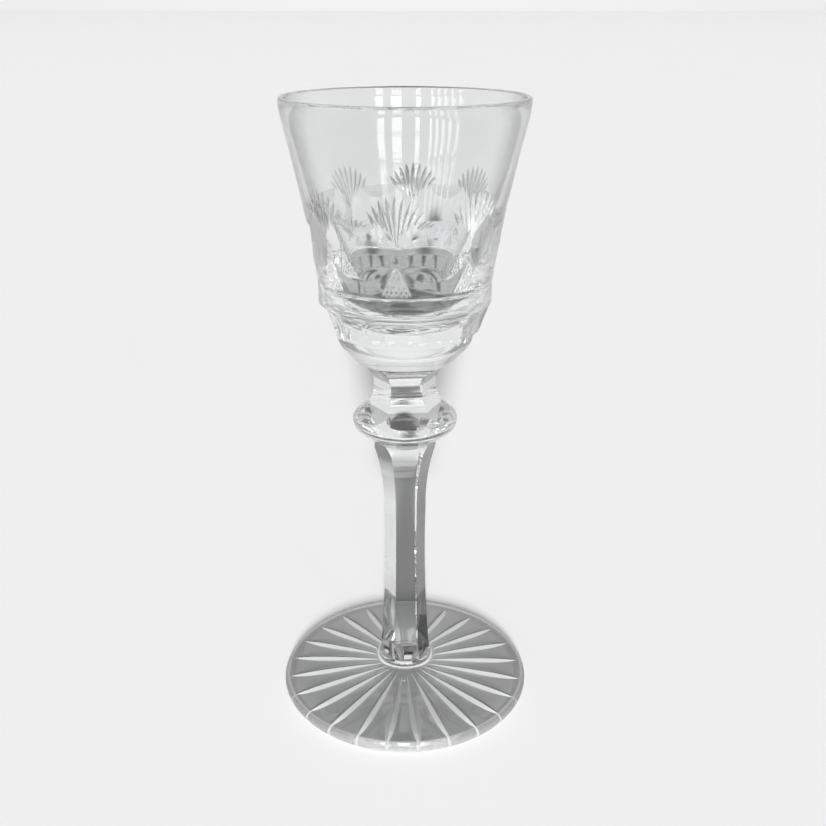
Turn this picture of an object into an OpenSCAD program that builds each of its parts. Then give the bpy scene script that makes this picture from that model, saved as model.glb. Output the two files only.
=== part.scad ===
// Stemmed sherry glass in cut clear crystal: bowl, neck, knop, stem and foot, fused end to end.
// Millimetres, +Z up, origin at the middle of the plane that the foot stands on.
// Azimuth 0 is the side that faces -Y, and it grows towards +X.

/* [Foot] */
// Diameter of the foot
foot_d = 60; // [52:1:72]
// Height of the foot where the stem is fused on
foot_h = 8; // [6.5:0.5:10]
// Height of the foot's edge
foot_edge_h = 2.8; // [2.4:0.1:3.6]
// Width of the flat ring that the foot stands on
rest_ring_w = 1.5; // [1:0.1:3]
// Rise of the hollow underside at its middle
foot_hollow = 0.8; // [0.4:0.1:1.2]
// Radius of the rounded corner between the foot and its middle
foot_fillet_r = 1.6; // [1:0.1:2.2]
// Rays in the star under the foot
star_rays = 24; // [16:1:26]
// Width of a ray where it is widest
star_ray_w = 2.1; // [1.4:0.1:2.4]
// Radius at which the rays begin
star_inner_r = 5; // [5:0.5:9]
// How far the tips of the rays run out onto the flat ring
star_run_out = 0.8; // [0:0.1:0.8]
// Turn of the star about the axis
star_turn = -3.5; // [-7.5:0.5:7.5]

/* [Stem] */
// Height of the stem between foot and knop
stem_h = 57; // [40:1:75]
// Sides of the stem and of the neck
stem_sides = 6; // [6:1:8]
// Stem across its flats at the waist
stem_waist_af = 8.2; // [7:0.1:9.5]
// Height of the waist above the foot
stem_waist_h = 30; // [22:1:34]
// Radius of the long hollow flats about the waist
stem_flat_r = 410; // [300:10:600]
// Height above the foot from which the flats open out to the knop
stem_rise_h = 41; // [37:1:44]
// Radius of the flats where they open out
stem_rise_r = 53; // [45:1:70]
// Diameter of the round collar at the top of the stem
stem_top_d = 14; // [13:0.5:16]
// Diameter of the round collar at the bottom of the stem
stem_base_d = 12.4; // [12.2:0.1:14]
// Turn of the flats from azimuth 0
stem_turn = 9; // [0:1:59]

/* [Knop] */
// Diameter of the knop
knop_d = 23.6; // [21:0.2:27]
// Height of the knop between stem and neck
knop_h = 9; // [8:0.5:11]
// Radius of the knop's rounded edge
knop_edge_r = 2.2; // [1.6:0.1:2.6]
// Height of the knop's widest ring above the stem
knop_ring_h = 5; // [4.5:0.1:5.5]

/* [Neck] */
// Height of the neck between knop and bowl
neck_h = 8; // [7:0.5:10]
// Neck across its flats at the waist
neck_waist_af = 12; // [11:0.2:13.4]
// Diameter of the neck where it meets knop and bowl
neck_end_d = 17.2; // [16.4:0.2:18]
// Height of the neck's waist above the knop
neck_waist_h = 4.2; // [3.6:0.1:4.6]
// Radius of the hollow flats of the neck
neck_flat_r = 7; // [6.6:0.1:8]

/* [Bowl] */
// Height of the bowl from the neck to the rim
bowl_h = 58; // [50:1:70]
// Outside diameter at the rim
rim_d = 51.2; // [47:0.2:60]
// Thickness of the rim
rim_t = 1.2; // [1.2:0.1:2]
// Height of the upper wall that curves up to an upright rim
lip_h = 4.5; // [3:0.5:6]
// Radius of that curve
lip_r = 20; // [16:1:30]
// Outside diameter of the plain band
band_d = 37.4; // [36:0.2:39]
// Height of the plain band
band_h = 4.5; // [3:0.5:6]
// How far the outside of the wall bows inwards between band and rim
wall_bow = 0.4; // [0.2:0.1:1]
// How far the inside of the wall bows outwards between floor and rim
cavity_bow = 0.6; // [0.2:0.1:0.8]
// Outside diameter of the shoulder below the panels
shoulder_d = 30; // [28:0.5:32]
// Radius of the rounded base below the shoulder
base_r = 4; // [3:0.1:5]
// Height of the shoulder above the neck
shoulder_h = 9; // [8:0.1:10]
// Height of the upright lip below the panels
shoulder_lip = 0.5; // [0.3:0.1:1]
// Height of the flat panels above the shoulder
panel_h = 7; // [6:0.1:9]
// Flat panels around the lower bowl
panels = 10; // [10:1:12]
// Lower end of the panels, across their corners
panel_low_d = 32; // [31.6:0.2:34]
// Turn of the panels from azimuth 0
panel_turn = 33; // [0:1:35]
// Glass under the floor of the bowl
floor_t = 12; // [10.5:0.5:14]
// Diameter of the flat floor inside the bowl
floor_d = 12; // [8:0.5:14]
// Radius of the rounded corner inside the bowl
floor_corner_r = 9; // [7:0.5:10]

/* [Ornament] */
// Oval cuts around the bowl, with one fan above each place where two meet
ovals = 8; // [8:1:9]
// Height of the ovals' middle above the neck
oval_h = 28.5; // [27:0.5:31]
// Height of one oval
oval_tall = 13; // [11:0.5:14]
// Depth of one oval at its middle
oval_depth = 1.35; // [1:0.05:1.4]
// Height of the point that the fans spread from, above the neck
fan_h = 30; // [29:0.5:33]
// Leaves in one fan
fan_leaves = 9; // [5:2:9]
// Angle between the outer leaves of a fan
fan_spread = 74; // [50:2:80]
// Length of one leaf
leaf_l = 9.5; // [7:0.5:10]
// Gap between a fan's point and the tips of its leaves
leaf_gap = 2.2; // [1.8:0.1:3]
// Depth of one leaf where it is deepest
leaf_depth = 0.4; // [0.3:0.05:0.5]
// Depth of the groove around the bowl above the plain band
groove_depth = 0.3; // [0.2:0.05:0.5]

/* [Hidden] */
$fn = 96;
glass_tint = [0.84, 0.87, 0.88];
// Full angle of the edge of every mitre wheel
mitre_angle = 110;
mitre_tan = tan(mitre_angle / 2);
// How far a cutting tool reaches past the glass that it cuts
past = 1;
mitre_past = 0.2;
// How far the upper corners of the panels lie inside the plain band
panel_inset = 0.15;
// How much deeper the stem's upper flats are cut than the long ones where they cross
stem_bite = 0.05;
// How far the long and the upper flats of the stem run into each other
stem_overlap_up = 1.5;
stem_overlap_down = 4;
// Sides of large circles when they are drawn as polygons
fine = 256;

stem_z = foot_h;
stem_waist_z = stem_z + stem_waist_h;
stem_rise_z = stem_z + stem_rise_h;
stem_rise_af = stem_waist_af - stem_bite * 2
    + 2 * (stem_flat_r - sqrt(pow(stem_flat_r, 2) - pow(stem_rise_h - stem_waist_h, 2)));
knop_z = stem_z + stem_h;
neck_z = knop_z + knop_h;
bowl_z = neck_z + neck_h;
rim_z = bowl_z + bowl_h;

foot_r = foot_d / 2;
foot_edge_r = foot_edge_h / 2;
rest_r = foot_r - foot_edge_r;
hollow_r = rest_r - rest_ring_w;
star_outer_r = hollow_r + star_run_out;
star_mid_r = (star_inner_r + star_outer_r) / 2;
star_depth = star_ray_w / 2 / mitre_tan;
star_half_l = (star_outer_r - star_inner_r) / 2;
star_wheel_r = wheel_r(star_half_l, star_depth, 0);

rim_r = rim_d / 2;
band_r = band_d / 2;
shoulder_r = shoulder_d / 2;
shoulder_z = bowl_z + shoulder_h;
panel_top_z = shoulder_z + panel_h;
band_top_z = panel_top_z + band_h;
// The rounded base runs this far round before it goes straight down to the neck
base_turn = 48;
floor_z = bowl_z + floor_t;
floor_edge_r = floor_d / 2 + floor_corner_r;
corner_top_z = floor_z + floor_corner_r;

// The outside of the wall is an arc about a point outside the bowl
wall_low = [band_r, band_top_z];
wall_high = [rim_r - lip_r + sqrt(lip_r * lip_r - lip_h * lip_h), rim_z - lip_h];
wall_r_out = bow_radius(wall_low, wall_high, wall_bow);
wall_centre = bow_centre(wall_low, wall_high, wall_r_out);
// The inside of the wall is an arc about a point beyond the axis
cavity_low = [floor_edge_r, corner_top_z];
cavity_high = [rim_r - rim_t, rim_z];
wall_r_in = bow_radius(cavity_low, cavity_high, cavity_bow);
cavity_centre = cavity_low + cavity_high - bow_centre(cavity_low, cavity_high, wall_r_in);

oval_z = bowl_z + oval_h;
oval_cut_r = (pow(oval_tall / 2, 2) + pow(oval_depth, 2)) / (2 * oval_depth);
fan_z = bowl_z + fan_h;
oval_step = 360 / ovals;

// Radius of an arc over the chord from p to q that bows by b at its middle
function bow_radius(p, q, b) = pow(norm(q - p), 2) / (8 * b) + b / 2;
// Centre of the arc of radius r from p up to q, on the side away from the axis
function bow_centre(p, q, r) =
    let (chord = q - p, half = norm(chord) / 2, away = [chord[1], -chord[0]] / norm(chord))
    (p + q) / 2 + away * sqrt(r * r - half * half);
// Outside radius of the wall at height z, and its lean from upright there
function wall_at(z) = wall_centre[0] - sqrt(pow(wall_r_out, 2) - pow(z - wall_centre[1], 2));
function wall_lean(z) = asin((z - wall_centre[1]) / wall_r_out);
// Radius of a wheel whose cut is 2 * half long and depth deep on a surface of curvature bend
function wheel_r(half, depth, bend) = 1 / (2 * depth / pow(half, 2) - bend);
// Points of an arc about c from angle a to angle b
function arc(c, r, a, b, steps = 12) =
    [for (i = [0:steps]) c + r * [cos(a + (b - a) * i / steps), sin(a + (b - a) * i / steps)]];

// A leaf-shaped mitre cut into the plane z = 0, along +Y turned by a towards +X.
// It is the edge of a wheel of radius r, kept only where it meets the glass.
module leaf_cut(a, half_l, r, depth) {
    deep = depth + mitre_past;
    half_w = deep * mitre_tan;
    rotate([0, 0, -a])
        intersection() {
            translate([0, 0, r - depth])
                rotate([0, -90, 0])
                    rotate_extrude($fn = fine)
                        polygon([[r, 0], [r - deep, half_w], [r - deep, -half_w]]);
            translate([-half_w, -half_l - past, -depth * 2])
                cube([half_w * 2, (half_l + past) * 2, depth * 2 + mitre_past / 2]);
        }
}

// Puts its children on the wall: +X along it, +Y up it and +Z out of it
module on_wall(azimuth, z) {
    rotate([0, 0, azimuth])
        translate([0, -wall_at(z), z])
            rotate([90 + wall_lean(z), 0, 0])
                children();
}

// Hollow flats around the neck, which run on into the knop and the base of the bowl
module neck_flats() {
    for (i = [0:stem_sides - 1])
        rotate([0, 0, stem_turn + i * 360 / stem_sides])
            translate([0, -neck_waist_af / 2 - neck_flat_r, neck_z + neck_waist_h])
                rotate([0, 90, 0])
                    cylinder(r = neck_flat_r, h = neck_end_d, center = true);
}

// Hollow flats around the stem from height low to height high, with radius r.
// They are deepest at height mid, where the stem measures af across them.
module stem_flats(low, high, mid, af, r) {
    reach = knop_d;
    for (i = [0:stem_sides - 1])
        rotate([0, 0, stem_turn + i * 360 / stem_sides])
            intersection() {
                translate([-reach, -reach, low])
                    cube([reach * 2, reach, high - low]);
                translate([0, -af / 2 - r, mid])
                    rotate([0, 90, 0])
                        cylinder(r = r, h = reach, center = true, $fn = fine);
            }
}

module star() {
    for (i = [0:star_rays - 1])
        rotate([0, 0, star_turn + i * 360 / star_rays])
            translate([0, -star_mid_r, foot_hollow * (1 - star_mid_r / hollow_r)])
                rotate([180, 0, 0])
                    leaf_cut(0, star_half_l, star_wheel_r, star_depth);
}

module foot() {
    boss_r = stem_base_d / 2;
    slope = atan((foot_h - foot_fillet_r - foot_edge_h) / (rest_r - boss_r - foot_fillet_r));
    color(glass_tint)
        difference() {
            rotate_extrude()
                polygon(concat(
                    [[0, foot_hollow], [hollow_r, 0]],
                    arc([rest_r, foot_edge_r], foot_edge_r, -90, 90 - slope),
                    arc([boss_r + foot_fillet_r, foot_h], foot_fillet_r, 270 - slope, 180),
                    [[0, foot_h]]
                ));
            star();
        }
}

module stem() {
    low_end = stem_rise_z + stem_overlap_up;
    high_end = stem_rise_z - stem_overlap_down;
    color(glass_tint)
        difference() {
            translate([0, 0, stem_z])
                cylinder(d1 = stem_base_d, d2 = stem_top_d, h = stem_h);
            stem_flats(stem_z - past, low_end, stem_waist_z, stem_waist_af, stem_flat_r);
            stem_flats(high_end, knop_z + past, stem_rise_z, stem_rise_af, stem_rise_r);
        }
}

module knop() {
    ring = [knop_d / 2 - knop_edge_r, knop_z + knop_ring_h];
    color(glass_tint)
        difference() {
            rotate_extrude()
                polygon(concat(
                    [[0, knop_z], [stem_top_d / 2, knop_z]],
                    arc(ring, knop_edge_r, -62, 62),
                    [[neck_end_d / 2, neck_z], [0, neck_z]]
                ));
            neck_flats();
        }
}

module neck() {
    color(glass_tint)
        difference() {
            translate([0, 0, neck_z])
                cylinder(d = neck_end_d, h = neck_h);
            neck_flats();
        }
}

// Outline of the inside of the bowl, open past the rim
module cavity_outline() {
    intersection() {
        translate([0, corner_top_z])
            square([rim_r, bowl_h]);
        translate(cavity_centre)
            circle(r = wall_r_in, $fn = fine);
    }
    polygon(concat(
        [[0, corner_top_z], [0, floor_z]],
        arc([floor_d / 2, corner_top_z], floor_corner_r, -90, 0)
    ));
}

// Outline of the bowl before it is hollowed and cut
module bowl_outline() {
    difference() {
        translate([0, band_top_z])
            square([rim_r, wall_high[1] - band_top_z]);
        translate(wall_centre)
            circle(r = wall_r_out, $fn = fine);
    }
    polygon(concat(
        [[0, rim_z], [0, wall_high[1]]],
        arc([rim_r - lip_r, rim_z], lip_r, -asin(lip_h / lip_r), 0)
    ));
    polygon(concat(
        [[0, band_top_z], [0, bowl_z], [neck_end_d / 2, bowl_z]],
        arc([shoulder_r - base_r, shoulder_z - shoulder_lip], base_r, -base_turn, 0),
        [[shoulder_r, shoulder_z], [band_r, shoulder_z], [band_r, band_top_z]]
    ));
}

// All that lies outside the flat panels, between the shoulder and the plain band
module panel_cuts() {
    low_r = panel_low_d / 2;
    high_r = band_r - panel_inset;
    lean = (high_r - low_r) / panel_h;
    below = shoulder_lip / 2;
    difference() {
        translate([0, 0, shoulder_z - below])
            cylinder(r = band_r + past, h = panel_h + below);
        rotate([0, 0, panel_turn - 90 + 180 / panels])
            translate([0, 0, shoulder_z - past])
                cylinder(
                    r1 = low_r - lean * past,
                    r2 = high_r + lean * past,
                    h = panel_h + past * 2,
                    $fn = panels
                );
    }
}

module oval_cuts() {
    for (i = [0:ovals - 1])
        rotate([0, 0, (i + 0.5) * oval_step])
            translate([0, -wall_at(oval_z) + oval_depth - oval_cut_r, oval_z])
                rotate([0, 90, 0])
                    cylinder(r = oval_cut_r, h = band_d, center = true);
}

// One fan of leaf cuts about azimuth 0
module fan_cuts() {
    for (i = [0:fan_leaves - 1]) {
        a = fan_spread * (i / (fan_leaves - 1) - 0.5);
        mid = leaf_gap + leaf_l / 2;
        z = fan_z + mid * cos(a);
        bend = pow(sin(a), 2) / wall_at(z) - pow(cos(a), 2) / wall_r_out;
        on_wall(asin(mid * sin(a) / wall_at(z)), z)
            leaf_cut(a, leaf_l / 2, wheel_r(leaf_l / 2, leaf_depth, bend), leaf_depth);
    }
}

module band_groove() {
    rotate_extrude()
        polygon([
            [band_r - groove_depth, band_top_z],
            [band_r + past, band_top_z - groove_depth - past],
            [band_r + past, band_top_z + groove_depth + past]
        ]);
}

module bowl() {
    color(glass_tint)
        difference() {
            rotate_extrude()
                difference() {
                    bowl_outline();
                    cavity_outline();
                }
            neck_flats();
            panel_cuts();
            oval_cuts();
            band_groove();
            for (i = [0:ovals - 1])
                rotate([0, 0, i * oval_step])
                    fan_cuts();
        }
}

bowl();
neck();
knop();
stem();
foot();
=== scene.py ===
"""Stemmed sherry glass in cut clear crystal, on a pale floor in soft studio light."""
from math import asin, atan, cos, degrees, hypot, pi, radians, sin, sqrt, tan

import bmesh
import bpy
from mathutils import Matrix, Vector


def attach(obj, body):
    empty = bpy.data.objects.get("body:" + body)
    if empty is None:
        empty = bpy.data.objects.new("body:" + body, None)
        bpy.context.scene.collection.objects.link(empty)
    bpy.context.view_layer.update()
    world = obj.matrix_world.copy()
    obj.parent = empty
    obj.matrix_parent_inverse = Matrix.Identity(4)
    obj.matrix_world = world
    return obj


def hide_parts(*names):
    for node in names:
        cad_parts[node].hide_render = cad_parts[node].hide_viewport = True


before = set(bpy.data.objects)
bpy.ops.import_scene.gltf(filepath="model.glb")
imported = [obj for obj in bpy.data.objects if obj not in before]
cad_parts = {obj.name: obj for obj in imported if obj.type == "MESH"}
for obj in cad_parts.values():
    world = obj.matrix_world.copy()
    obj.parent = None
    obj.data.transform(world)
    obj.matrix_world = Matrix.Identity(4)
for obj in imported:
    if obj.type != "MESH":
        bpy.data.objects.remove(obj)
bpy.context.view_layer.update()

# Sizes in millimetres and angles in degrees. The fans, the star and the hatching have their
# own, and the rest are those of the CAD model.
MM = 0.001
SIDES = 360
MITRE = tan(radians(55))

FOOT_H, FOOT_EDGE_R, FOOT_FILLET = 8.0, 1.4, 1.6
REST_R, HOLLOW_R, HOLLOW = 28.594, 27.1, 0.8
EDGE_START_R = REST_R + 0.3
STAR_RAYS, STAR_IN, STAR_OUT, STAR_DEPTH, STAR_TURN = 24, 3.5, 28.3, 0.75, -3.5

STEM_Z, KNOP_Z, NECK_Z, BOWL_Z, RIM_Z = 8.0, 65.0, 74.0, 82.0, 140.0
STEM_SIDES, STEM_TURN = 6, 9.0
STEM_AZIMUTHS = [STEM_TURN + i * 360 / STEM_SIDES for i in range(STEM_SIDES)]
STEM_BASE_R, STEM_TOP_R = 6.2, 7.0
WAIST, WAIST_Z, LONG_R = 4.1, 38.0, 410.0
RISE, RISE_Z, RISE_R, RISE_START = 4.1976, 49.0, 53.0, 1.3

KNOP_R, KNOP_EDGE_R, KNOP_EDGE_TURN, KNOP_RING_Z = 11.8, 2.2, 62, 70.0
NECK_R, NECK_WAIST, NECK_WAIST_Z, NECK_FLAT_R = 8.6, 6.0, 78.2, 7.0

RIM_R, RIM_IN_R, LIP_R, LIP_H = 25.6, 24.4, 20.0, 4.5
BAND_R, PANEL_TOP_Z, BAND_TOP_Z, GROOVE = 18.7, 98.0, 102.5, 0.3
SHOULDER_R, SHOULDER_Z, SHOULDER_LIP, BASE_R, BASE_TURN = 15.0, 91.0, 0.5, 4.0, 48.0
PANELS, PANEL_LOW_R, PANEL_HIGH_R, PANEL_TURN = 10, 16.0, 18.55, 33.0
FLOOR_Z, FLOOR_R, CORNER_R = 94.0, 6.0, 9.0
WALL_BOW, CAVITY_BOW = 0.4, -0.6

OVALS, OVAL_Z, OVAL_HALF, OVAL_DEPTH = 8, 110.5, 6.5, 1.35
FAN_Z, FAN_LEAVES, FAN_SPREAD = 112.0, 9, 66.0
LEAF_L, LEAF_GAP, LEAF_DEPTH, LEAF_MITRE = 11.6, 0.3, 0.48, 1.05
# How much shorter the outer leaves of a fan are, as a share, and the peak of a leaf's depth curve
LEAF_SHORTER, LEAF_PEAK = 0.15, 0.58
HATCH_LINES, HATCH_W, HATCH_H, HATCH_DEPTH, HATCH_END = 6, 2.9, 6.3, 0.2, 6

# Small offsets about the groove: its eased lower edge, its upper edge, and what lies above
GROOVE_EASE = ((0.0, -0.12), (-0.06, 0.02))
GROOVE_TOP, WALL_START, HATCH_START = 0.04, 0.2, 0.35
# Distance of the rings of points beside the upper edge of the panels, and below the rim inside
PANEL_GUARD, RIM_GUARD = 1, 0.3
# How far the cutting tools reach past what they cut
PANEL_BELOW, PANEL_OUT, OVAL_REACH, OVAL_ARC = 0.25, 4, 9, (150, 210)
STEM_TOOL_R, STEM_TOOL_HALF, STEM_TOOL_PAST, GROOVE_LIFT = 16, 12, 1, 0.2
STEM_TOOL_ROWS = 60
# Points closer than this are one point, and points this near a plane lie on it, in metres
SAME, PLANE, BISECT = 1e-7, 1e-7, 1e-8
SHARP_EDGE = 12


def arc(c, r, a, b, steps):
    """Points of an arc about c from angle a to angle b, in degrees."""
    turns = [radians(a + (b - a) * i / steps) for i in range(steps + 1)]
    return [(c[0] + r * cos(t), c[1] + r * sin(t)) for t in turns]


class Bow:
    """An arc from p up to q that bows towards the axis by b, or outwards if b is negative."""

    def __init__(self, p, q, b):
        dr, dz = q[0] - p[0], q[1] - p[1]
        chord = hypot(dr, dz)
        self.p, self.q, self.side = p, q, 1 if b > 0 else -1
        self.r = chord ** 2 / (8 * abs(b)) + abs(b) / 2
        rise = self.side * sqrt(self.r ** 2 - chord ** 2 / 4) / chord
        self.c = ((p[0] + q[0]) / 2 + dz * rise, (p[1] + q[1]) / 2 - dr * rise)

    def at(self, z):
        """Radius at height z."""
        return self.c[0] - self.side * sqrt(self.r ** 2 - (z - self.c[1]) ** 2)

    def lean(self, z):
        """Lean from upright at height z, in radians."""
        return self.side * asin((z - self.c[1]) / self.r)

    def points(self, steps):
        zs = [self.p[1] + (self.q[1] - self.p[1]) * i / steps for i in range(steps + 1)]
        return [(self.at(z), z) for z in zs]


LIP_LOW = (RIM_R - LIP_R + sqrt(LIP_R ** 2 - LIP_H ** 2), RIM_Z - LIP_H)
WALL = Bow((BAND_R, BAND_TOP_Z), LIP_LOW, WALL_BOW)
CAVITY = Bow((FLOOR_R + CORNER_R, FLOOR_Z + CORNER_R), (RIM_IN_R, RIM_Z), CAVITY_BOW)


def spot(r, azimuth, z):
    """A point at a radius, an azimuth in degrees from -Y towards +X, and a height."""
    a = radians(azimuth)
    return Vector((r * sin(a), -r * cos(a), z))


# Meshes

def new_object(name, bm, *materials):
    """An object made from a mesh in millimetres."""
    bmesh.ops.recalc_face_normals(bm, faces=bm.faces)
    bm.transform(Matrix.Diagonal((MM, MM, MM, 1)))
    mesh = bpy.data.meshes.new(name)
    bm.to_mesh(mesh)
    bm.free()
    for m in materials:
        mesh.materials.append(m)
    obj = bpy.data.objects.new(name, mesh)
    bpy.context.scene.collection.objects.link(obj)
    return obj


def lathe(profile, joints=(), well=None):
    """A turned solid. The profile runs from axis to axis, and joints are heights of fused ends.
    From its point number well on, the profile has a material of its own."""
    bm = bmesh.new()
    rings = []
    for r, z in profile:
        count = SIDES if r > 0 else 1
        rings.append([bm.verts.new(spot(r, 360 * i / SIDES, z)) for i in range(count)])
    for n, (a, b, p, q) in enumerate(zip(rings, rings[1:], profile, profile[1:])):
        for i in range(SIDES):
            corners = []
            for v in (a[i % len(a)], a[(i + 1) % len(a)], b[(i + 1) % len(b)], b[i % len(b)]):
                if v not in corners:
                    corners.append(v)
            face = bm.faces.new(corners)
            if p[1] == q[1] and p[1] in joints:
                face.material_index = 1
            elif well is not None and n >= well:
                face.material_index = 2
    return bm


def prism(bm, outline, azimuth, half):
    """An outline of (radius, height) points, drawn out to both sides along the tangent."""
    across = spot(1, azimuth + 90, 0)
    ends = []
    for side in (-half, half):
        ends.append([bm.verts.new(spot(r, azimuth, z) + across * side) for r, z in outline])
    count = len(outline)
    for i in range(count):
        j = (i + 1) % count
        bm.faces.new((ends[0][i], ends[0][j], ends[1][j], ends[1][i]))
    bm.faces.new(ends[0])
    bm.faces.new(ends[1][::-1])


def groove(bm, points, normals, depths, mitre=MITRE, flank=0):
    """A mitre groove along points on a surface. One of its flanks may have another material."""
    last = len(points) - 1
    rows = []
    for i, (p, n, d) in enumerate(zip(points, normals, depths)):
        along = (points[min(i + 1, last)] - points[max(i - 1, 0)]).normalized()
        side = along.cross(n).normalized() * (d + GROOVE_LIFT) * mitre
        top = p + n * GROOVE_LIFT
        rows.append([bm.verts.new(v) for v in (p - n * d, top + side, top - side)])
    for a, b in zip(rows, rows[1:]):
        for i in range(3):
            j = (i + 1) % 3
            face = bm.faces.new((a[i], a[j], b[j], b[i]))
            face.material_index = flank if i == 2 else 0
    bm.faces.new(rows[0])
    bm.faces.new(rows[-1][::-1])


def on_wall(azimuth, x, y, z):
    """A point x along and y up the wall from a place on it, and the wall's normal there."""
    high = z + y
    r = WALL.at(high)
    turn = azimuth + degrees(x / r)
    lean = WALL.lean(high)
    normal = spot(1, turn, 0) * cos(lean) - Vector((0, 0, sin(lean)))
    return spot(r, turn, high), normal.normalized()


def wall_groove(bm, azimuth, z, start, end, depth, steps, shape, mitre=MITRE, flank=0):
    """A groove on the wall between two places that are given along and up the wall."""
    points, normals, depths = [], [], []
    for i in range(steps + 1):
        x, y = [s + (e - s) * i / steps for s, e in zip(start, end)]
        point, normal = on_wall(azimuth, x, y, z)
        points.append(point)
        normals.append(normal)
        depths.append(depth * shape(2 * i / steps - 1))
    groove(bm, points, normals, depths, mitre, flank)


def leaf(u):
    """Depth of a leaf or ray along its length, from -1 to 1. It widens and then ends in a point."""
    w = (1 + u) / 2
    return w * (1 - w ** 5) / LEAF_PEAK


def scratch(u):
    """Depth of a fine line, which is even but for its ends."""
    return min(1.0, (1 - abs(u)) * HATCH_END)


def cut(obj, cutters):
    """Cuts the cutters out of an object, which keeps their materials on the new faces."""
    tools = bpy.data.collections.new("tools")
    bpy.context.scene.collection.children.link(tools)
    for c in cutters:
        bpy.context.scene.collection.objects.unlink(c)
        tools.objects.link(c)
    mod = obj.modifiers.new("cuts", "BOOLEAN")
    mod.operation = "DIFFERENCE"
    mod.operand_type = "COLLECTION"
    mod.collection = tools
    mod.solver = "MANIFOLD"
    mod.material_mode = "TRANSFER"
    graph = bpy.context.evaluated_depsgraph_get()
    mesh = bpy.data.meshes.new_from_object(obj.evaluated_get(graph))
    obj.modifiers.clear()
    old = obj.data
    obj.data = mesh
    mesh.name = obj.name
    bpy.data.meshes.remove(old)
    for c in cutters:
        bpy.data.objects.remove(c)
    bpy.data.collections.remove(tools)


def finish_mesh(obj):
    """A clean closed mesh, with smooth shading and crisp edges where cuts meet."""
    mesh = obj.data
    bm = bmesh.new()
    bm.from_mesh(mesh)
    bmesh.ops.remove_doubles(bm, verts=bm.verts, dist=SAME)
    bmesh.ops.dissolve_degenerate(bm, edges=bm.edges, dist=SAME)
    bmesh.ops.triangulate(bm, faces=bm.faces)
    same = {}
    for f in bm.faces:
        same.setdefault(frozenset(f.verts), []).append(f)
    folded = [f for group in same.values() if len(group) > 1 for f in group]
    bmesh.ops.delete(bm, geom=folded, context="FACES")
    bm.to_mesh(mesh)
    bm.free()
    mesh.shade_smooth()
    mesh.set_sharp_from_angle(angle=radians(SHARP_EDGE))


# Materials

IOR = 1.54
TINT_A, TINT_B = (0.885, 0.895, 0.897), (0.93, 0.937, 0.938)
# The part of the fine noise over which the roughness goes from low to high
ROUGH_SPAN = (0.35, 0.7)


def nodes_of(name):
    mat = bpy.data.materials.new(name)
    mat.use_nodes = True
    tree = mat.node_tree
    tree.nodes.clear()
    return mat, tree.nodes, tree.links


def ramp(nodes, links, source, low, high, a, b):
    """A number from low to high, where the source goes from a to b."""
    node = nodes.new("ShaderNodeMapRange")
    node.inputs["From Min"].default_value = a
    node.inputs["From Max"].default_value = b
    node.inputs["To Min"].default_value = low
    node.inputs["To Max"].default_value = high
    links.new(source, node.inputs["Value"])
    return node.outputs["Result"]


def noise(nodes, links, scale, detail, place):
    node = nodes.new("ShaderNodeTexNoise")
    node.inputs["Scale"].default_value = scale
    node.inputs["Detail"].default_value = detail
    links.new(place, node.inputs["Vector"])
    return node.outputs["Fac"]


def bump(nodes, links, height, distance):
    node = nodes.new("ShaderNodeBump")
    node.inputs["Strength"].default_value = 1.0
    node.inputs["Distance"].default_value = distance
    links.new(height, node.inputs["Height"])
    return node


def crystal(name, rough, wave, wave_scale, grain, grain_scale,
            shade=0.3, clear=1.0, tone=1.0, outline=1.0, grazing=(0.4, 0.95)):
    """Clear lead glass with slight waves, polishing marks and a trace of colour, which tone
    darkens.
    It lets lamps through by shade, and where it is seen at a slant its colour darkens to outline, a
    painted shade for the dark edges that dark surroundings give glass."""
    mat, nodes, links = nodes_of(name)
    place = nodes.new("ShaderNodeTexCoord").outputs["Object"]
    glass = nodes.new("ShaderNodeBsdfPrincipled")
    glass.inputs["Transmission Weight"].default_value = clear
    glass.inputs["IOR"].default_value = IOR
    slow = noise(nodes, links, wave_scale, 2.0, place)
    fine = noise(nodes, links, grain_scale, 4.0, place)
    tint = nodes.new("ShaderNodeMix")
    tint.data_type = "RGBA"
    tint.inputs["A"].default_value = (*[c * tone for c in TINT_A], 1)
    tint.inputs["B"].default_value = (*[c * tone for c in TINT_B], 1)
    links.new(slow, tint.inputs["Factor"])
    # Painted shade: the colour darkens towards outline where the glass is seen at a slant.
    slant = nodes.new("ShaderNodeLayerWeight")
    slant.inputs["Blend"].default_value = 0.5
    slant_shade = nodes.new("ShaderNodeMix")
    slant_shade.data_type = "RGBA"
    slant_shade.blend_type = "MULTIPLY"
    slant_shade.inputs["B"].default_value = (outline, outline, outline, 1)
    links.new(ramp(nodes, links, slant.outputs["Facing"], 0, 1, *grazing), slant_shade.inputs["Factor"])
    links.new(tint.outputs["Result"], slant_shade.inputs["A"])
    links.new(slant_shade.outputs["Result"], glass.inputs["Base Color"])
    links.new(ramp(nodes, links, fine, *rough, *ROUGH_SPAN), glass.inputs["Roughness"])
    bump_slow = bump(nodes, links, slow, wave)
    bump_fine = bump(nodes, links, fine, grain)
    links.new(bump_slow.outputs["Normal"], bump_fine.inputs["Normal"])
    links.new(bump_fine.outputs["Normal"], glass.inputs["Normal"])
    through = nodes.new("ShaderNodeBsdfTransparent")
    through.inputs["Color"].default_value = (shade, shade, shade, 1)
    light = nodes.new("ShaderNodeLightPath")
    mix = nodes.new("ShaderNodeMixShader")
    links.new(light.outputs["Is Shadow Ray"], mix.inputs["Fac"])
    links.new(glass.outputs["BSDF"], mix.inputs[1])
    links.new(through.outputs["BSDF"], mix.inputs[2])
    out = nodes.new("ShaderNodeOutputMaterial")
    links.new(mix.outputs["Shader"], out.inputs["Surface"])
    return mat


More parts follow.
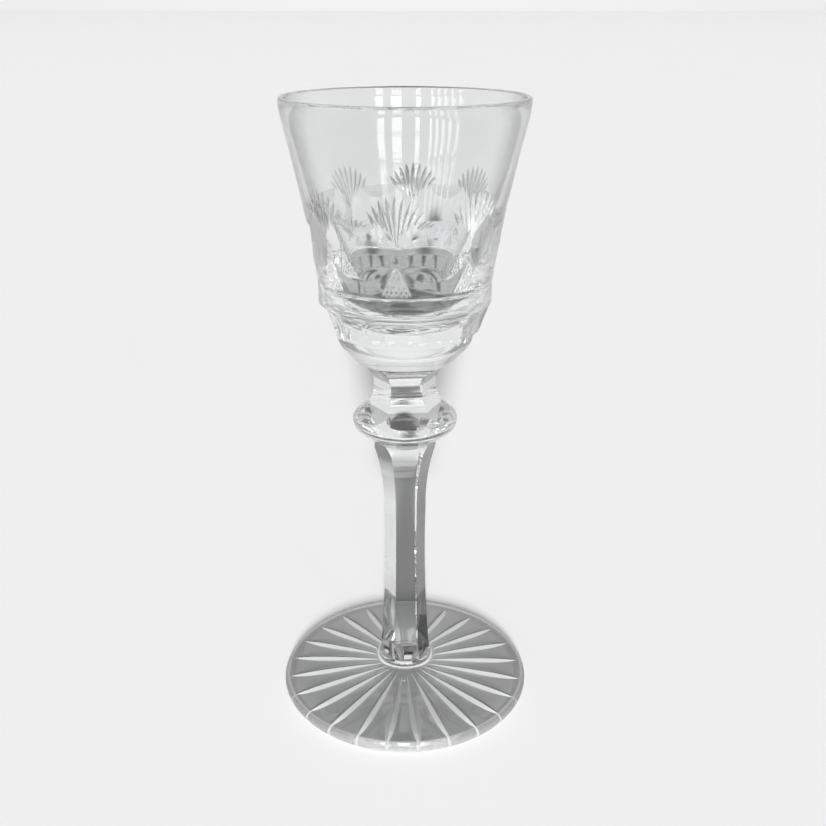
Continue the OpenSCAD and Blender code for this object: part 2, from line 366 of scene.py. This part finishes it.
def fused():
    """The plane where two pieces are fused, which can't be seen."""
    mat, nodes, links = nodes_of("fused")
    clear = nodes.new("ShaderNodeBsdfTransparent")
    out = nodes.new("ShaderNodeOutputMaterial")
    links.new(clear.outputs["BSDF"], out.inputs["Surface"])
    return mat


# Waves and marks of blown, polished and matt surfaces, with depths in metres
FIRE = {"wave": 0.00002, "wave_scale": 60.0, "grain": 0.0, "grain_scale": 900.0}
POLISH = {"wave": 0.00002, "wave_scale": 120.0, "grain": 0.000001, "grain_scale": 1500.0}
MATT = {"wave": 0.00002, "wave_scale": 150.0, "grain": 0.000002, "grain_scale": 2500.0}
NO_GRAIN, HALF_WAVE = {"grain": 0.0}, {"wave": 0.00001}

# Blown glass, the bottom of the cavity, the foot and its rounded edge. The bottom of the cavity is
# darkened as painted shade, and the blown glass and the edge darken at a slant as painted shade.
BLOWN = crystal("crystal", (0.0, 0.012), **FIRE, outline=0.1, grazing=(0.45, 0.92))
PAINTED_WELL = crystal("crystal_well_painted_shade", (0.0, 0.012), **FIRE, tone=0.32)
FOOT = crystal("crystal_foot", (0.0, 0.012), **FIRE, shade=0.5)
EDGE = crystal("crystal_edge", (0.12, 0.2), **(FIRE | HALF_WAVE),
               shade=0.62, clear=0.8, tone=0.92, outline=0.75)
# Polished cuts: panels, ovals and flats, the stem's facets, and one flank of each leaf. Their
# darkening at a slant is painted shade, and the darker copy on one flank of each leaf and on the
# knop's flats is painted shade too.
CUT = crystal("crystal_cut", (0.0, 0.03), **POLISH, outline=0.08, grazing=(0.45, 0.85))
FACET = crystal("crystal_facet", (0.0, 0.03), **POLISH, outline=0.05, grazing=(0.5, 0.62))
SHADED_CUT = crystal("crystal_cut_painted_shade", (0.0, 0.03), **(POLISH | NO_GRAIN), tone=0.45)
# Matt cuts: the other flank of each leaf, the hatching and the rays of the star
BRIGHT = crystal("crystal_bright", (0.05, 0.12), **(MATT | NO_GRAIN), clear=0.85)
HATCHED = crystal("crystal_hatch", (0.05, 0.15), **MATT, clear=0.93)
SATIN = crystal("crystal_satin", (0.35, 0.5), **MATT, shade=0.62, clear=0.35)
FUSED = fused()


# The five pieces

def neck_flats(material):
    """Round-bottomed flats that waist the neck, as two tools whose parts don't cross."""
    steps = 192
    centre = (NECK_WAIST + NECK_FLAT_R, NECK_WAIST_Z)
    outline = arc(centre, NECK_FLAT_R, 0, 360 - 360 / steps, steps - 1)
    tools = []
    for start in (0, 1):
        bm = bmesh.new()
        for azimuth in STEM_AZIMUTHS[start::2]:
            prism(bm, outline, azimuth, NECK_R)
        tools.append(new_object("neck_tool", bm, material))
    return tools


def bowl_profile():
    """The bowl's outline before it is cut, and the number of the point where the well begins."""
    groove_low, groove_high = BAND_TOP_Z - GROOVE, BAND_TOP_Z + GROOVE
    rim_w = (RIM_R - RIM_IN_R) / 2
    base = (SHOULDER_R - BASE_R, SHOULDER_Z - SHOULDER_LIP)
    outside = [(0, BOWL_Z), (NECK_R, BOWL_Z)]
    outside += arc(base, BASE_R, -BASE_TURN, 0, 12)
    outside += [(SHOULDER_R, SHOULDER_Z), (BAND_R, SHOULDER_Z)]
    outside += [(BAND_R, PANEL_TOP_Z - PANEL_GUARD), (BAND_R, PANEL_TOP_Z + PANEL_GUARD)]
    outside += [(BAND_R + dr, groove_low + dz) for dr, dz in GROOVE_EASE]
    outside += [(BAND_R - GROOVE, BAND_TOP_Z)]
    outside += [(WALL.at(groove_high + GROOVE_TOP), groove_high + GROOVE_TOP)]
    outside += [p for p in WALL.points(40) if p[1] > groove_high + WALL_START]
    lip = arc((RIM_R - LIP_R, RIM_Z), LIP_R, -degrees(asin(LIP_H / LIP_R)), 0, 10)
    outside += [p for p in lip[1:] if p[1] < RIM_Z - rim_w]
    rim = arc((RIM_R - rim_w, RIM_Z - rim_w), rim_w, 0, 180, 20)
    inside = [p for p in CAVITY.points(44) if p[1] < RIM_Z - rim_w - RIM_GUARD][::-1]
    well = len(outside + rim + inside) - 1
    inside += arc((FLOOR_R, FLOOR_Z + CORNER_R), CORNER_R, 0, -90, 20)[1:]
    inside += [(FLOOR_R / 2, FLOOR_Z), (0, FLOOR_Z)]
    return outside + rim + inside, well


def panel_tool():
    """All that lies outside the flat panels."""
    bm = bmesh.new()
    lean = (PANEL_HIGH_R - PANEL_LOW_R) / (PANEL_TOP_Z - SHOULDER_Z)
    low_z = SHOULDER_Z - PANEL_BELOW
    low_r = PANEL_LOW_R + lean * (low_z - SHOULDER_Z)
    high_r = PANEL_LOW_R + lean * (PANEL_TOP_Z - SHOULDER_Z)
    out_r = BAND_R + PANEL_OUT
    rows = []
    for r, z in ((low_r, low_z), (high_r, PANEL_TOP_Z), (out_r, PANEL_TOP_Z), (out_r, low_z)):
        turns = [PANEL_TURN + (i + 0.5) * 360 / PANELS for i in range(PANELS)]
        rows.append([bm.verts.new(spot(r, turn, z)) for turn in turns])
    for a, b in zip(rows, rows[1:] + rows[:1]):
        for i in range(PANELS):
            j = (i + 1) % PANELS
            bm.faces.new((a[i], a[j], b[j], b[i]))
    return new_object("panel_tool", bm, CUT)


def oval_tools():
    """Hollow ovals around the wall, as two tools whose parts don't cross."""
    r = (OVAL_HALF ** 2 + OVAL_DEPTH ** 2) / (2 * OVAL_DEPTH)
    outline = arc((WALL.at(OVAL_Z) - OVAL_DEPTH + r, OVAL_Z), r, *OVAL_ARC, 60)
    tools = []
    for start in (0, 1):
        bm = bmesh.new()
        for i in range(start, OVALS, 2):
            prism(bm, outline, (i + 0.5) * 360 / OVALS, OVAL_REACH)
        tools.append(new_object("oval_tool", bm, CUT))
    return tools


def fan_tools():
    """The leaves of the fans, with one tool for the same leaf of every fan."""
    tools = []
    for i in range(FAN_LEAVES):
        u = 2 * i / (FAN_LEAVES - 1) - 1
        a = radians(FAN_SPREAD * u / 2)
        far = LEAF_GAP + LEAF_L * (1 - LEAF_SHORTER * u * u)
        start, end = [(t * sin(a), t * cos(a)) for t in (LEAF_GAP, far)]
        bm = bmesh.new()
        for k in range(OVALS):
            wall_groove(bm, k * 360 / OVALS, FAN_Z, start, end, LEAF_DEPTH, 24, leaf,
                        LEAF_MITRE, flank=1)
        # One flank of each leaf takes the darkened copy of the cut glass, which is painted shade.
        tools.append(new_object("leaf_tool", bm, BRIGHT, SHADED_CUT))
    return tools


def hatch_tools():
    """Crossing fine lines in a small triangle under each fan."""
    low = BAND_TOP_Z + GROOVE + HATCH_START
    tools = []
    for i in range(HATCH_LINES):
        u = i / HATCH_LINES
        for side in (-1, 1):
            start = (side * HATCH_W * (2 * u - 1), 0.0)
            end = (side * HATCH_W * u, HATCH_H * (1 - u))
            bm = bmesh.new()
            for k in range(OVALS):
                wall_groove(bm, k * 360 / OVALS, low, start, end, HATCH_DEPTH, 12, scratch)
            tools.append(new_object("hatch_tool", bm, HATCHED))
    return tools


def bowl():
    profile, well = bowl_profile()
    # From the well on, the cavity's bottom takes the darkened glass, which is painted shade.
    piece = new_object("bowl_glass", lathe(profile, (BOWL_Z,), well), BLOWN, FUSED, PAINTED_WELL)
    cut(piece, neck_flats(CUT) + [panel_tool()] + oval_tools() + fan_tools() + hatch_tools())
    return piece


def neck():
    rows = (NECK_Z, (NECK_Z + BOWL_Z) / 2, BOWL_Z)
    profile = [(0, NECK_Z)] + [(NECK_R, z) for z in rows] + [(0, BOWL_Z)]
    piece = new_object("neck_glass", lathe(profile, (NECK_Z, BOWL_Z)), BLOWN, FUSED)
    cut(piece, neck_flats(CUT))
    return piece


def knop():
    ring = (KNOP_R - KNOP_EDGE_R, KNOP_RING_Z)
    profile = [(0, KNOP_Z), (STEM_TOP_R, KNOP_Z)]
    profile += arc(ring, KNOP_EDGE_R, -KNOP_EDGE_TURN, KNOP_EDGE_TURN, 24)
    profile += [(NECK_R, NECK_Z), (0, NECK_Z)]
    piece = new_object("knop_glass", lathe(profile, (KNOP_Z, NECK_Z)), BLOWN, FUSED)
    # The knop's flats take the darkened copy of the cut glass, which is painted shade.
    cut(piece, neck_flats(SHADED_CUT))
    return piece


def stem_flat(z):
    """Distance of the stem's flats from the axis at height z."""
    if z < RISE_Z - RISE_START:
        return WAIST + LONG_R - sqrt(LONG_R ** 2 - (z - WAIST_Z) ** 2)
    return RISE + RISE_R - sqrt(RISE_R ** 2 - (z - RISE_Z) ** 2)


def stem():
    profile = [(0, STEM_Z), (STEM_BASE_R, STEM_Z), (STEM_TOP_R, KNOP_Z), (0, KNOP_Z)]
    piece = new_object("stem_glass", lathe(profile, (STEM_Z, KNOP_Z)), BLOWN, FUSED)
    heights = [STEM_Z - STEM_TOOL_PAST + i for i in range(STEM_TOOL_ROWS)]
    outline = [(stem_flat(z), z) for z in heights]
    outline += [(STEM_TOOL_R, heights[-1]), (STEM_TOOL_R, heights[0])]
    tools = []
    for azimuth in STEM_AZIMUTHS:
        bm = bmesh.new()
        prism(bm, outline, azimuth, STEM_TOOL_HALF)
        tools.append(new_object("stem_tool", bm, FACET))
    cut(piece, tools)
    return piece


def mark_foot(piece):
    """Marks the hexagon on the foot where the stem is fused, and the foot's rounded edge."""
    bm = bmesh.new()
    bm.from_mesh(piece.data)
    flat = stem_flat(STEM_Z) * MM
    ways = [spot(1, azimuth, 0) for azimuth in STEM_AZIMUTHS]

    def top_faces():
        return [f for f in bm.faces if all(abs(v.co.z - FOOT_H * MM) < PLANE for v in f.verts)]

    for way in ways:
        top = top_faces()
        parts = dict.fromkeys(top)
        for f in top:
            parts.update(dict.fromkeys(f.edges))
            parts.update(dict.fromkeys(f.verts))
        bmesh.ops.bisect_plane(bm, geom=list(parts), dist=BISECT,
                               plane_co=way * flat, plane_no=way)
    for f in top_faces():
        middle = f.calc_center_median()
        f.material_index = 1 if max(middle.dot(way) for way in ways) < flat else 0
    for f in bm.faces:
        middle = f.calc_center_median()
        if hypot(middle.x, middle.y) > EDGE_START_R * MM and f.material_index == 0:
            f.material_index = 2
    bm.to_mesh(piece.data)
    bm.free()


def star_tools():
    """The rays under the foot, as two tools whose parts don't cross."""
    steps = 24
    middle, half = (STAR_IN + STAR_OUT) / 2, (STAR_OUT - STAR_IN) / 2
    places = [2 * i / steps - 1 for i in range(steps + 1)]
    down = [Vector((0, 0, -1))] * (steps + 1)
    depths = [STAR_DEPTH * leaf(u) for u in places]
    tools = []
    for start in (0, 1):
        bm = bmesh.new()
        for k in range(start, STAR_RAYS, 2):
            azimuth = STAR_TURN + k * 360 / STAR_RAYS
            points = []
            for u in places:
                r = middle + half * u
                points.append(spot(r, azimuth, max(0, HOLLOW * (1 - r / HOLLOW_R))))
            groove(bm, points, down, depths)
        tools.append(new_object("star_tool", bm, SATIN))
    return tools


def foot():
    rise = FOOT_H - FOOT_FILLET - 2 * FOOT_EDGE_R
    slope = degrees(atan(rise / (REST_R - STEM_BASE_R - FOOT_FILLET)))
    profile = [(0, HOLLOW), (STAR_IN, HOLLOW * (1 - STAR_IN / HOLLOW_R)), (HOLLOW_R, 0)]
    profile += arc((REST_R, FOOT_EDGE_R), FOOT_EDGE_R, -90, 90 - slope, 24)
    profile += arc((STEM_BASE_R + FOOT_FILLET, FOOT_H), FOOT_FILLET, 270 - slope, 180, 16)
    profile += [(0, FOOT_H)]
    piece = new_object("foot_glass", lathe(profile), FOOT, FUSED, EDGE)
    cut(piece, star_tools())
    mark_foot(piece)
    return piece


for build, node in ((bowl, "bowl"), (neck, "neck"), (knop, "knop"), (stem, "stem"), (foot, "foot")):
    piece = build()
    finish_mesh(piece)
    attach(piece, "root")
    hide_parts(node)


# Floor, light and camera

# The camera's azimuth, which the key light shares so that shadows fall behind the glass
AZIMUTH = 5
FLOOR_COLOUR, FLOOR_ROUGH, FLOOR_SCALE, FLOOR_VARIES = (0.9, 0.9, 0.9), 0.8, 3.0, 0.985
FLOOR_REACH = (-25000, -3000, -600, 600, 3000, 25000)
# Lamps are this far away, in metres. A strip spans elevations and has an angular width.
FAR = 1000.0
KEY_LOW, KEY_HIGH, KEY_WIDTH, KEY_LEVEL = 14, 30, 3.4, 475
# Windows as (turn from the camera's azimuth, width), each with panes as (low, high)
WINDOWS = ((27, 8), (9, 11), (-14, 5), (-29, 2.5), (-36, 2.5), (-43, 2.5), (-51, 2.5), (-60, 2.5))
PANES = ((4, 13), (14.5, 20), (21.5, 28))
WINDOW_LEVEL = 4
# Brightness of the surroundings by the sine of the elevation, and a glow behind the glass
SKY = ((0, 0.8), (0.09, 0.72), (0.3, 0.36), (1, 0.28))
GLOW_ELEVATION, GLOW_OUTER, GLOW_INNER = 40, 50, 25
FILL = 0.06
DISTANCE, HEIGHT, PITCH = 0.2121, 0.157, 22.06
SENSOR, LENS, SHIFT_X, CLIP_START = 36.0, 44.0, 0.0097, 0.01
BOUNCES = 64


def pale():
    """The floor's matt pale surface, with a trace of variation."""
    mat, nodes, links = nodes_of("floor")
    place = nodes.new("ShaderNodeTexCoord").outputs["Object"]
    shader = nodes.new("ShaderNodeBsdfPrincipled")
    shader.inputs["Roughness"].default_value = FLOOR_ROUGH
    shader.inputs["Specular IOR Level"].default_value = 0.1
    mix = nodes.new("ShaderNodeMix")
    mix.data_type = "RGBA"
    mix.inputs["A"].default_value = (*[c * FLOOR_VARIES for c in FLOOR_COLOUR], 1)
    mix.inputs["B"].default_value = (*FLOOR_COLOUR, 1)
    links.new(noise(nodes, links, FLOOR_SCALE, 3.0, place), mix.inputs["Factor"])
    links.new(mix.outputs["Result"], shader.inputs["Base Color"])
    out = nodes.new("ShaderNodeOutputMaterial")
    links.new(shader.outputs["BSDF"], out.inputs["Surface"])
    return mat


def floor():
    """A wide flat floor."""
    bm = bmesh.new()
    rows = [[bm.verts.new((x, y, 0)) for x in FLOOR_REACH] for y in FLOOR_REACH]
    for a, b in zip(rows, rows[1:]):
        for i in range(len(a) - 1):
            bm.faces.new((a[i], a[i + 1], b[i + 1], b[i]))
    new_object("floor", bm, pale())


def strip(name, azimuth, low, high, width, level):
    """A tall strip light far away, from one elevation to another, as bright as its level."""
    bottom, top = FAR * tan(radians(low)), FAR * tan(radians(high))
    middle = (bottom + top) / 2
    place = spot(FAR, azimuth, middle)
    lamp = bpy.data.lights.new(name, "AREA")
    lamp.shape = "RECTANGLE"
    lamp.size, lamp.size_y = FAR * radians(width), top - bottom
    lamp.energy = level * pi * (FAR * radians(width)) * (top - bottom)
    obj = bpy.data.objects.new(name, lamp)
    obj.location = place
    obj.rotation_euler = (spot(0, 0, middle) - place).to_track_quat("-Z", "Y").to_euler()
    bpy.context.scene.collection.objects.link(obj)
    return obj


def surround(name, levels, glow, light):
    """A world with levels of (height, brightness) and a soft glow for the eye, gloss and glass,
    and an even light for the rest. The glow is (direction, outer angle, inner angle)."""
    world = bpy.data.worlds.new(name)
    world.use_nodes = True
    nodes, links = world.node_tree.nodes, world.node_tree.links
    nodes.clear()
    place = nodes.new("ShaderNodeTexCoord").outputs["Generated"]
    split = nodes.new("ShaderNodeSeparateXYZ")
    links.new(place, split.inputs[0])
    shade = nodes.new("ShaderNodeValToRGB")
    stops = shade.color_ramp.elements
    while len(stops) < len(levels):
        stops.new(0.5)
    for stop, (height, level) in zip(stops, levels):
        stop.position = height
        stop.color = (level, level, level, 1)
    links.new(split.outputs["Z"], shade.inputs["Fac"])
    near = nodes.new("ShaderNodeVectorMath")
    near.operation = "DOT_PRODUCT"
    links.new(place, near.inputs[0])
    near.inputs[1].default_value = glow[0]
    lit = nodes.new("ShaderNodeMix")
    lit.data_type = "RGBA"
    lit.inputs["B"].default_value = (1, 1, 1, 1)
    edges = [cos(radians(angle)) for angle in glow[1:]]
    links.new(ramp(nodes, links, near.outputs["Value"], 0, 1, *edges), lit.inputs["Factor"])
    links.new(shade.outputs["Color"], lit.inputs["A"])
    bright = nodes.new("ShaderNodeBackground")
    links.new(lit.outputs["Result"], bright.inputs["Color"])
    dim = nodes.new("ShaderNodeBackground")
    dim.inputs["Strength"].default_value = light
    path = nodes.new("ShaderNodeLightPath")
    total = path.outputs["Is Camera Ray"]
    for kind in ("Is Glossy Ray", "Is Transmission Ray"):
        most = nodes.new("ShaderNodeMath")
        most.operation = "MAXIMUM"
        links.new(total, most.inputs[0])
        links.new(path.outputs[kind], most.inputs[1])
        total = most.outputs["Value"]
    mix = nodes.new("ShaderNodeMixShader")
    links.new(total, mix.inputs["Fac"])
    links.new(dim.outputs["Background"], mix.inputs[1])
    links.new(bright.outputs["Background"], mix.inputs[2])
    out = nodes.new("ShaderNodeOutputWorld")
    links.new(mix.outputs["Shader"], out.inputs["Surface"])
    return world


floor()
key = strip("key", AZIMUTH, KEY_LOW, KEY_HIGH, KEY_WIDTH, KEY_LEVEL)
key.visible_glossy = False
key.visible_transmission = False
for turn, width in WINDOWS:
    for low, high in PANES:
        strip("window", AZIMUTH + turn, low, high, width, WINDOW_LEVEL)

scene = bpy.context.scene
behind = spot(1, AZIMUTH + 180, tan(radians(GLOW_ELEVATION))).normalized()
scene.world = surround("studio", SKY, (behind, GLOW_OUTER, GLOW_INNER), FILL)

camera = bpy.data.cameras.new("camera")
camera.sensor_width = SENSOR
camera.lens = LENS
camera.shift_x = SHIFT_X
camera.clip_start = CLIP_START
view = bpy.data.objects.new("camera", camera)
view.location = spot(DISTANCE, AZIMUTH, HEIGHT)
view.rotation_euler = (radians(90 - PITCH), 0, radians(AZIMUTH))
scene.collection.objects.link(view)
scene.camera = view

scene.view_settings.view_transform = "Standard"
scene.cycles.max_bounces = BOUNCES
scene.cycles.transmission_bounces = BOUNCES
scene.cycles.glossy_bounces = BOUNCES
scene.cycles.transparent_max_bounces = BOUNCES
scene.cycles.caustics_refractive = False
scene.cycles.caustics_reflective = False
scene.cycles.use_denoising = True
